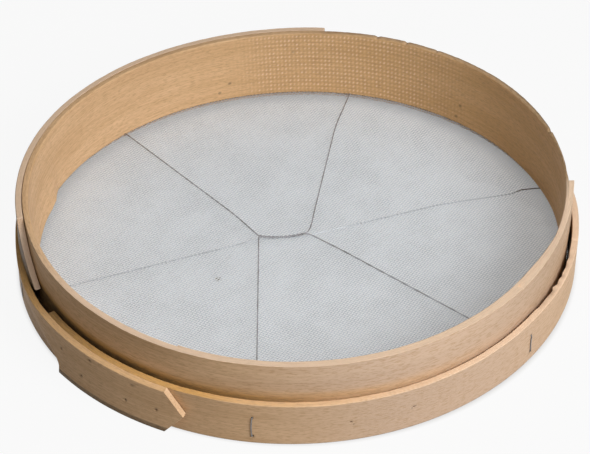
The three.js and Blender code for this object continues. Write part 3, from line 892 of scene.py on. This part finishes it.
# %% [markdown]
# ## The brace wires
# Two wires cross the cloth and are twisted together in the middle, which pulls them tight. A third
# runs under the cloth and comes up through it near the right wall. Every end goes out through the
# wall, up the band and in again, like a staple. A curve with a bevel would give a tube too; a plain
# sweep keeps the rings even in the tight folds of the staples.

# %% Folds and staples
WIRE = 0.9
WIRE_REACH = WIRE / 2 + 0.1
WIRE_FOLD = 1.2
BELLY_FOLD = 6 * WIRE_FOLD
FOLD_STEPS = 8
WIRE_TURN_IN = 3.0
STAPLE_BITE = 2.0
STAPLE_BOW = 1.0


def fold(before, corner, after, reach, reach_after=None):
    start = corner + reach * (before - corner) / np.linalg.norm(before - corner)
    end = corner + (reach_after or reach) * (after - corner) / np.linalg.norm(after - corner)
    share = np.linspace(0, 1, FOLD_STEPS + 1)[:, None]
    return mix(mix(start, corner, share), mix(corner, end, share), share)


def staple(end, height):
    angle, foot, top = np.array(end)
    middle = (foot + top) / 2
    inside = polar(angle, hoop_wall(angle) - WIRE_TURN_IN, height)
    low = polar(angle, band_outer(angle, foot) + WIRE_REACH, foot)
    belly = polar(angle - arc_of(STAPLE_BOW), band_outer(angle, middle) + WIRE_REACH, middle)
    high = polar(angle, band_outer(angle, top) + WIRE_REACH, top)
    tip = polar(angle, seat(angle) - STAPLE_BITE, top)
    folds = [fold(inside, low, belly, WIRE_FOLD), fold(low, belly, high, BELLY_FOLD)]
    return np.concatenate([[inside], *folds, fold(belly, high, tip, WIRE_FOLD), [tip]])


print("a staple bows", STAPLE_BOW, "mm to one side")

# %% Twist two wires together
TWIST_LEFT = np.array([-28.8, 7.3, 0.0])
TWIST_RIGHT = np.array([6.2, 9.8, 0.0])
TWIST_BOW = 2.6
TWIST_RADIUS = WIRE / 2 + 0.15
TWIST_HALF_TURNS = 11
TWIST_STEPS = 132
CLOTH_TOP = 7.9
TWIST_HEIGHT = CLOTH_TOP + FIT + TWIST_RADIUS + WIRE / 2
twist_axis = (TWIST_RIGHT - TWIST_LEFT) / np.linalg.norm(TWIST_RIGHT - TWIST_LEFT)
twist_side = np.array([-twist_axis[1], twist_axis[0], 0.0])


def twist_strand(phase):
    share = np.linspace(0, 1, TWIST_STEPS + 1)[:, None]
    turn = phase + share * TWIST_HALF_TURNS * np.pi
    sag = TWIST_BOW * 4 * share * (1 - share)
    strand = mix(TWIST_LEFT, TWIST_RIGHT, share) + twist_side * (TWIST_RADIUS * np.cos(turn) - sag)
    strand[:, 2:] = TWIST_HEIGHT + TWIST_RADIUS * np.sin(turn)
    return strand


print("twist rises to", round(TWIST_HEIGHT + TWIST_RADIUS + WIRE / 2, 2), "mm")

# %% Routes of the brace wires
WALL_HEIGHT = 9.8
UNDER_HEIGHT = 6.2
OVER_HEIGHT = CLOTH_TOP + WIRE / 2 + FIT
BEND_FOLD = 9.0
TWIST_LEAD = 0.5
WIRE_A_BENDS = ([(-48.5, 35.5)], [(34.1, -9.8)])
WIRE_B_BENDS = ([(-29.5, -30.0)], [(13.3, 33.9), (33.3, 150.0)])
UNDER_BENDS = [(-28.8, 7.3), (6.2, 9.8), (112.0, 46.5), (168.0, 58.4)]
THREAD_RISE = (176.0, 60.4)


def smooth_bends(points):
    folds = [fold(*points[k - 1:k + 2], BEND_FOLD) for k in range(1, len(points) - 1)]
    return np.concatenate(folds)


def at_height(spots, height):
    return [np.array([x, y, height]) for x, y in spots]


def twisted_route(ends, bends, phase, lead_out, sweep_out):
    strand = twist_strand(phase)
    left, right = (staple(end, WALL_HEIGHT) for end in ends)
    to_left, to_right = (at_height(spots, OVER_HEIGHT) for spots in bends)
    left_turn = strand[0] - TWIST_LEAD * twist_axis
    right_turn = strand[-1] + lead_out * twist_axis
    left_arm = smooth_bends([left[0], *to_left, left_turn])
    right_arm = smooth_bends([right_turn, *to_right, right[0]])
    left_fold = fold(to_left[-1], left_turn, strand[0], TWIST_LEAD)
    right_fold = fold(strand[-1], right_turn, to_right[0], lead_out, sweep_out)
    return np.concatenate([left[::-1], left_arm, left_fold, strand, right_fold, right_arm, right])


def under_route(ends):
    left, right = staple(ends[0], UNDER_HEIGHT), staple(ends[1], WALL_HEIGHT)
    under, over = at_height(UNDER_BENDS, UNDER_HEIGHT), at_height([THREAD_RISE], OVER_HEIGHT)
    return np.concatenate([left[::-1], under, over, right])


wire_routes = {
    "brace_wire_a": twisted_route(WIRE_A_ENDS, WIRE_A_BENDS, phase=0.0, lead_out=3.0, sweep_out=3.0),
    "brace_wire_b": twisted_route(WIRE_B_ENDS, WIRE_B_BENDS, phase=np.pi, lead_out=4.0, sweep_out=17.0),
    "brace_wire_c": under_route(WIRE_C_ENDS),
}
for node, route in wire_routes.items():
    print(node, round(np.linalg.norm(np.diff(route, axis=0), axis=1).sum()), "mm long")

# %% Sweep a tube along a route
WIRE_STEP = 6.0
CLOSEST_POINTS = 0.02
FIRST_SIDE = (0.31, 0.17, 0.93)


def filled(route):
    points = [route[0]]
    for start, end in zip(route[:-1], route[1:]):
        count = max(int(np.linalg.norm(end - start) / WIRE_STEP), 1)
        points += [mix(start, end, k / count) for k in range(1, count + 1)]
    kept = [points[0]]
    for point in points[1:]:
        if np.linalg.norm(point - kept[-1]) > CLOSEST_POINTS:
            kept.append(point)
    return np.array(kept)


def circle(sides, side, other):
    turn = 2 * np.pi * np.arange(sides) / sides
    return np.outer(np.cos(turn), side) + np.outer(np.sin(turn), other)


def wire_rings(route, radius, sides):
    ahead = np.diff(route, axis=0)
    ahead = ahead / np.linalg.norm(ahead, axis=1)[:, None]
    tangent = np.concatenate([ahead[:1], ahead[:-1] + ahead[1:], ahead[-1:]])
    tangent = tangent / np.linalg.norm(tangent, axis=1)[:, None]
    side = np.cross(tangent[0], FIRST_SIDE)
    rings = []
    for point, forward in zip(route, tangent):
        side = side - forward * np.dot(side, forward)
        side = side / np.linalg.norm(side)
        rings.append(point + radius * circle(sides, side, np.cross(forward, side)))
    return np.array(rings)


print("rings no further apart than", 2 * WIRE_STEP, "mm")

# %% Draw the brace wires
WIRE_SIDES = 10


def brace_wire(node, route):
    rings = wire_rings(filled(route), WIRE / 2, WIRE_SIDES)
    x, y = rings.reshape(-1, 3).T[:2]
    # Painted highlight: the under wire is bright zinc along its middle and paler where it runs under the
    # cloth; all wires are darker at the far right and outside the wall.
    painted_glint, under_cloth = stretch(x, -42, -34, 37, 45), 0.4 * ease(x, 172, 164)
    threaded, at_wall = 0.85 * ease(x, 168, 174), 0.3 * ease(np.hypot(x, y), 200, 206)
    marked = {"pale_and_glint": np.maximum(painted_glint, under_cloth) * (node == "brace_wire_c"),
              "grime_and_shade": np.maximum(threaded, at_wall)}
    faces = tube_faces(len(rings), WIRE_SIDES, 0)
    piece = make_piece(node + "_steel", sprung(rings), faces, [node], marked, sharp=60.0)
    report(piece, node)
    return piece


wire_pieces = [brace_wire(node, route) for node, route in wire_routes.items()]

# %% [markdown]
# ## The nails
# The nails are small cut nails, driven below the face, so each shows as a dark dimple, and the
# points of the longer ones just come through the inner wall. A turned profile gives head, neck and
# point in one go, and a few hammer marks keep the heads from looking machined.

# %% Turn a nail
NAIL_SIDES = 14
NAIL_HEAD = 1.05
NAIL_SHANK = 0.75
NAIL_SINK = 0.5
NAIL_POINT = 2.5
NAIL_WAIST = (0.45, 0.4)
NAIL_SHOW = 0.3
NAIL_NECK = 0.8
NAIL_FLARE = 0.2
NAIL_CROWN = 0.25
CROWN_DROP = 0.08
CROWN_RINGS = (0.7, 0.3)
HAMMER_DENT = 0.08


def nail_profile(length):
    neck = length - NAIL_NECK
    point = [(0.0, 0.0), (NAIL_WAIST[0] * NAIL_SHANK, NAIL_WAIST[1] * NAIL_POINT), (NAIL_SHANK, NAIL_POINT)]
    head = [(NAIL_SHANK, neck), (NAIL_HEAD, neck + NAIL_FLARE), (NAIL_HEAD, length - NAIL_CROWN)]
    wide, narrow = (share * NAIL_HEAD for share in CROWN_RINGS)
    crown = [(wide, length - CROWN_DROP), (narrow, length), (0.0, length)]
    return point + head + crown


def nail(node, angle, height, face, seed):
    angle = np.array(angle)
    tip = hoop_wall(angle) + from_line(angle, LAP_THINNED) - NAIL_SHOW
    dice = np.random.default_rng(seed)
    profile = nail_profile(float(face - NAIL_SINK - tip))
    crown_start = profile[-3][1]
    out, wall_along = polar(angle, 1.0, 0.0), polar(angle + 90, 1.0, 0.0)
    round_points = circle(NAIL_SIDES, wall_along, [0, 0, 1])
    rings = []
    for radius, along in profile:
        hammered = along - HAMMER_DENT * dice.uniform(size=(NAIL_SIDES, 1)) * (along >= crown_start)
        rings.append(polar(angle, tip, height) + radius * round_points + hammered * out)
    faces = [face[::-1] for face in tube_faces(len(profile), NAIL_SIDES, 0)]
    return make_piece(node + "_steel", sprung(np.array(rings)), faces, [node], sharp=50.0)


print("a nail's point is", NAIL_POINT, "mm long and its head", 2 * NAIL_HEAD, "mm across")

# %% Drive the nails
nail_plan = []
for group, spots, face in (
    ("lap_nail", LAP_NAILS, band_outer),
    ("back_left_nail", BACK_LEFT_NAILS, band_outer),
    ("back_right_nail", BACK_RIGHT_NAILS, band_outer),
    ("front_nail", FRONT_NAILS, band_outer),
    ("hoop_lap_nail", HOOP_LAP_NAILS, lambda angle, height: hoop_face(np.array(angle))),
):
    nail_plan += [(f"{group}_{k + 1}", *spot, face(*spot)) for k, spot in enumerate(spots)]
nail_plan.append(("doubling_nail", *DOUBLING_NAIL, doubling_outer(DOUBLING_NAIL[0])))
nail_pieces = [nail(*plan, seed) for seed, plan in enumerate(nail_plan)]
print(len(nail_pieces), "nails of", len(nail_pieces[0].data.polygons), "faces")

# %% [markdown]
# ## Node helpers
# The finishes are node trees, so a few small helpers keep them readable: they add a node and fill
# its sockets, read a layer, do arithmetic, map a range and mix two colours or two shaders.

# %% Helpers for materials
def fill(tree, socket, value):
    if isinstance(value, bpy.types.NodeSocket):
        tree.links.new(value, socket)
    else:
        socket.default_value = value


def add(tree, kind, settings=None, **sockets):
    node = tree.nodes.new(kind)
    for key, value in (settings or {}).items():
        setattr(node, key, value)
    for key, value in sockets.items():
        fill(tree, node.inputs[key.replace("_", " ")], value)
    return node


def layer(tree, name, output="Fac"):
    return add(tree, "ShaderNodeAttribute", {"attribute_name": name}).outputs[output]


def maths(tree, operation, *values):
    node = add(tree, "ShaderNodeMath", {"operation": operation})
    for socket, value in zip(node.inputs, values):
        fill(tree, socket, value)
    return node.outputs[0]


def tint(tree, share, a, b):
    node = add(tree, "ShaderNodeMix", {"data_type": "RGBA"})
    for k, value in zip((0, 6, 7), (share, a, b)):
        fill(tree, node.inputs[k], value)
    return node.outputs[2]


def between(tree, value, low, high, least=0.0, most=1.0):
    return add(tree, "ShaderNodeMapRange", {"interpolation_type": "SMOOTHSTEP"}, Value=value, From_Min=low,
               From_Max=high, To_Min=least, To_Max=most).outputs[0]


def either(tree, share, first, second):
    node = add(tree, "ShaderNodeMixShader", Fac=share)
    for socket, shader in zip(node.inputs[1:], (first, second)):
        tree.links.new(shader.outputs[0], socket)
    return node.outputs[0]


def blank_finish(name):
    material = bpy.data.materials.new(name)
    material.use_nodes = True
    tree = material.node_tree
    return material, tree, tree.nodes["Principled BSDF"]


print("helpers ready")

# %% [markdown]
# ## Beech
# Beech is pale pinkish brown with no bold rings. Close up it is full of short dark flecks that run
# with the grain, over long faint streaks. Both are noise, stretched along the plank by reading the
# grain layer instead of the object's own place, so streaks bend with the strip and the sawn ends
# show specks. Worn edges are paler, dirt darkens nail holes, and the foot of the lap is darker. The
# same dark layer also paints shade into gaps and onto faces turned from the light, the wear layer
# paints light onto a few shaded places, and the age layer paints a pale sheen on faces towards the
# light and a warm amber shade on faces away from it.

# %% Grain of the beech
FLECK = (5.0, 0.7)
STREAK = (45.0, 1.6)
CLOUD = (120.0, 16.0)
SHIFT_WAY = (1.0, 0.37, 1.9)


def along_grain(tree, grain, size, shift, detail):
    along, across = size
    scaled = add(tree, "ShaderNodeMapping", Vector=grain, Scale=(1 / along, 1 / across, 1 / across),
                 Location=[shift * way for way in SHIFT_WAY])
    noise = add(tree, "ShaderNodeTexNoise", Vector=scaled.outputs[0], Scale=1.0, Detail=detail,
                Roughness=0.55)
    return noise.outputs["Fac"]


def shaded(colour, shade):
    return (*(shade * part for part in colour), 1.0)


print("flecks about", FLECK[0], "mm long, streaks", STREAK[0], "mm")

# %% Make the beech finish
PALE_BEECH = (0.67, 0.44, 0.25)
DARK_BEECH = (0.54, 0.335, 0.175)
FLECK_BROWN = (0.40, 0.235, 0.115)
EDGE_PALE = (0.83, 0.655, 0.515)
# pale pink for aged tops and ends, and a painted sheen on faces towards the light
BLEACH_AND_SHEEN = (0.58, 0.42, 0.31)
# painted warm shade, amber, for wood facing away from the light and in gaps
WARM_SHADE_AMBER = (0.64, 0.355, 0.095)
# dark brown for dirt, and also for painted shade in gaps and on faces turned from the light
DIRT_AND_SHADE_BROWN = (0.085, 0.06, 0.035)
FLECK_DEPTH = 0.8


def beech(name, shift, shade):
    material, tree, wood = blank_finish(name)
    grain = layer(tree, "grain", "Vector")
    soil, wear, age = (layer(tree, name) for name in ("soil", "wear", "age"))
    streak = along_grain(tree, grain, STREAK, shift, 3.0)
    cloud = along_grain(tree, grain, CLOUD, shift + 3, 2.0)
    fleck = along_grain(tree, grain, FLECK, shift + 7, 2.0)
    flecks = between(tree, fleck, 0.48, 0.66, most=0.52)
    streaks, clouds = between(tree, streak, 0.32, 0.68, most=0.55), between(tree, cloud, 0.3, 0.7, most=0.5)
    figure = maths(tree, "ADD", streaks, clouds)
    colour = tint(tree, figure, shaded(PALE_BEECH, shade), shaded(DARK_BEECH, shade))
    for share, over in (
        (between(tree, age, 0.0, 1.0, most=0.9), BLEACH_AND_SHEEN),
        (between(tree, age, 0.0, -1.0, most=0.9), WARM_SHADE_AMBER),
        (flecks, FLECK_BROWN),
        # pale wear, and also painted light on the band's inner foot and the doubling's sawn end
        (between(tree, wear, 0.0, 1.0, most=0.75), EDGE_PALE),
        (between(tree, wear, 0.0, -0.6, most=0.5), FLECK_BROWN),
        (maths(tree, "MULTIPLY", soil, between(tree, fleck, 0.25, 0.6, least=0.75)), DIRT_AND_SHADE_BROWN),
    ):
        colour = tint(tree, share, colour, shaded(over, shade))
    relief = maths(tree, "SUBTRACT", streak, maths(tree, "MULTIPLY", flecks, FLECK_DEPTH))
    bump = add(tree, "ShaderNodeBump", Height=relief, Strength=0.35, Distance=0.0003)
    roughness = between(tree, streak, 0.3, 0.7, least=0.44, most=0.58)
    for socket, value in (("Base Color", colour), ("Roughness", roughness), ("Normal", bump.outputs[0]),
                          ("Specular IOR Level", 0.12)):
        fill(tree, wood.inputs[socket], value)
    return material


# Each piece's shade scales all its wood colours. The hoop's is the highest, partly painted light that lifts
# its shaded inner walls; its outside is darkened again in its dark layer.
for piece, shift, shade in ((hoop_piece, 11.0, 1.16), (doubling_piece, 29.0, 1.06), (band_piece, 53.0, 1.1)):
    piece.data.materials.append(beech(piece.name, shift, shade))
    print(piece.name, "finished in beech")

# %% [markdown]
# ## Steel
# The cloth is bright tinned wire, slightly clouded, with one clogged dark spot, and it is painted dark
# where its edge turns up into the shaded gap beside the hoop. The brace wires are dull black wire,
# darker at the far right and outside the wall; the one under the cloth is paler there and carries a
# painted highlight of bright zinc along its middle. The nails are rusty brown. One recipe makes all
# three: only colour, roughness and the size of the clouds differ, at the scale of fingers and
# weather, not of the wire.

# %% Make the steel finishes
GLINT_ZINC = (0.85, 0.86, 0.88, 1)


def steel(name, bright, dull, patch, roughness, metal):
    material, tree, face = blank_finish(name)
    place = add(tree, "ShaderNodeTexCoord").outputs["Object"]
    noise = add(tree, "ShaderNodeTexNoise", Vector=place, Scale=1 / patch, Detail=4.0, Roughness=0.6)
    cloud = noise.outputs["Fac"]
    colour = tint(tree, between(tree, cloud, 0.35, 0.68), bright, dull)
    colour = tint(tree, layer(tree, "pale_and_glint"), colour, GLINT_ZINC)
    colour = tint(tree, layer(tree, "grime_and_shade"), colour, shaded(DIRT_AND_SHADE_BROWN, 1.0))
    for socket, value in (("Base Color", colour), ("Metallic", metal),
                          ("Roughness", between(tree, cloud, 0.3, 0.7, *roughness))):
        fill(tree, face.inputs[socket], value)
    return material


cloth_steel = steel("tinned_cloth_wire", bright=(0.64, 0.675, 0.725, 1), dull=(0.53, 0.56, 0.605, 1),
                    patch=0.03, roughness=(0.42, 0.55), metal=0.6)
brace_steel = steel("dull_brace_wire", bright=(0.38, 0.38, 0.40, 1), dull=(0.22, 0.21, 0.205, 1),
                    patch=0.012, roughness=(0.4, 0.6), metal=0.7)
nail_steel = steel("rusty_nail", bright=(0.24, 0.135, 0.07, 1), dull=(0.13, 0.075, 0.04, 1),
                   patch=0.002, roughness=(0.6, 0.8), metal=0.3)
for finish, pieces in ((cloth_steel, cloth_pieces), (brace_steel, wire_pieces), (nail_steel, nail_pieces)):
    for piece in pieces:
        piece.data.materials.append(finish)
    print(finish.name, "on", len(pieces), "pieces")

# %% [markdown]
# ## Floor and light
# The sieve stands on a pale floor that runs out to white. The main light is a broad soft box at the
# right, a little to the front, so the left side and the inside of the right wall fall into shade,
# and the white room fills the rest. The floor's own brightness is set for the camera alone, so it
# stays white without throwing more light on the wood, and it still takes the soft shadow.

# %% Lay the floor
FLOOR_SIZE = 8.0
FLOOR_DROP = -0.0002
SHEET_PALE = (0.88, 0.88, 0.87, 1)
FLOOR_PALE = (0.45, 0.45, 0.45, 1)
WHITE = (1, 1, 1, 1)


def seen_directly(tree):
    path = add(tree, "ShaderNodeLightPath").outputs
    glossy = maths(tree, "MAXIMUM", path["Is Glossy Ray"], path["Is Transmission Ray"])
    return maths(tree, "MAXIMUM", path["Is Camera Ray"], glossy)


bpy.ops.mesh.primitive_plane_add(size=FLOOR_SIZE, location=(0, 0, FLOOR_DROP))
floor = bpy.context.object
floor.name = "floor"
floor_paper, paper, plain = blank_finish("floor_paper")
paper.nodes.remove(plain)
place = add(paper, "ShaderNodeTexCoord").outputs["Object"]
from_middle = add(paper, "ShaderNodeVectorMath", {"operation": "LENGTH"}, Vector=place).outputs["Value"]
# Under the sieve the floor is paler, so it bounces more light up into the sieve, and its camera-only glow
# drops to 0.28 there, a painted light on the floor seen through the cloth.
paper_colour = tint(paper, between(paper, from_middle, 0.19, 0.21), SHEET_PALE, FLOOR_PALE)
matt = add(paper, "ShaderNodeBsdfDiffuse", Color=paper_colour)
glow = add(paper, "ShaderNodeEmission", Color=WHITE, Strength=1.0)
glow_share = between(paper, from_middle, 0.208, 0.217, least=0.28, most=0.92)
white_share = maths(paper, "MULTIPLY", seen_directly(paper), glow_share)
paper.links.new(either(paper, white_share, matt, glow), paper.nodes["Material Output"].inputs["Surface"])
floor.data.materials.append(floor_paper)
print("floor", FLOOR_SIZE, "m wide")

# %% Light the room
world = bpy.data.worlds.new("room")
bpy.context.scene.world = world
world.use_nodes = True
room = world.node_tree
room.nodes.clear()
dim = add(room, "ShaderNodeBackground", Color=(1.0, 0.96, 0.9, 1), Strength=0.11)
white = add(room, "ShaderNodeBackground", Color=WHITE, Strength=1.0)
add(room, "ShaderNodeOutputWorld", Surface=either(room, seen_directly(room), dim, white))


def soft_box(name, azimuth, rise, distance, size, watts, colour):
    rise = math.radians(rise)
    way = Vector(polar(azimuth, math.cos(rise), math.sin(rise)).tolist())
    box = bpy.data.objects.new(name, bpy.data.lights.new(name, "AREA"))
    box.data.shape = "DISK"
    box.data.size = size
    box.data.energy = watts
    box.data.color = colour
    box.location = way * distance
    box.rotation_mode = "QUATERNION"
    box.rotation_quaternion = way.to_track_quat("Z", "Y")
    bpy.context.scene.collection.objects.link(box)
    print(name, watts, "W at", [round(x, 2) for x in box.location])


soft_box("key_light", azimuth=-44.0, rise=39.0, distance=2.2, size=1.3, watts=43.0, colour=(0.96, 0.98, 1.0))
soft_box("top_light", azimuth=-85.0, rise=72.0, distance=2.0, size=1.6, watts=9.0, colour=(1.0, 0.97, 0.92))
bpy.context.scene.view_settings.view_transform = "Standard"
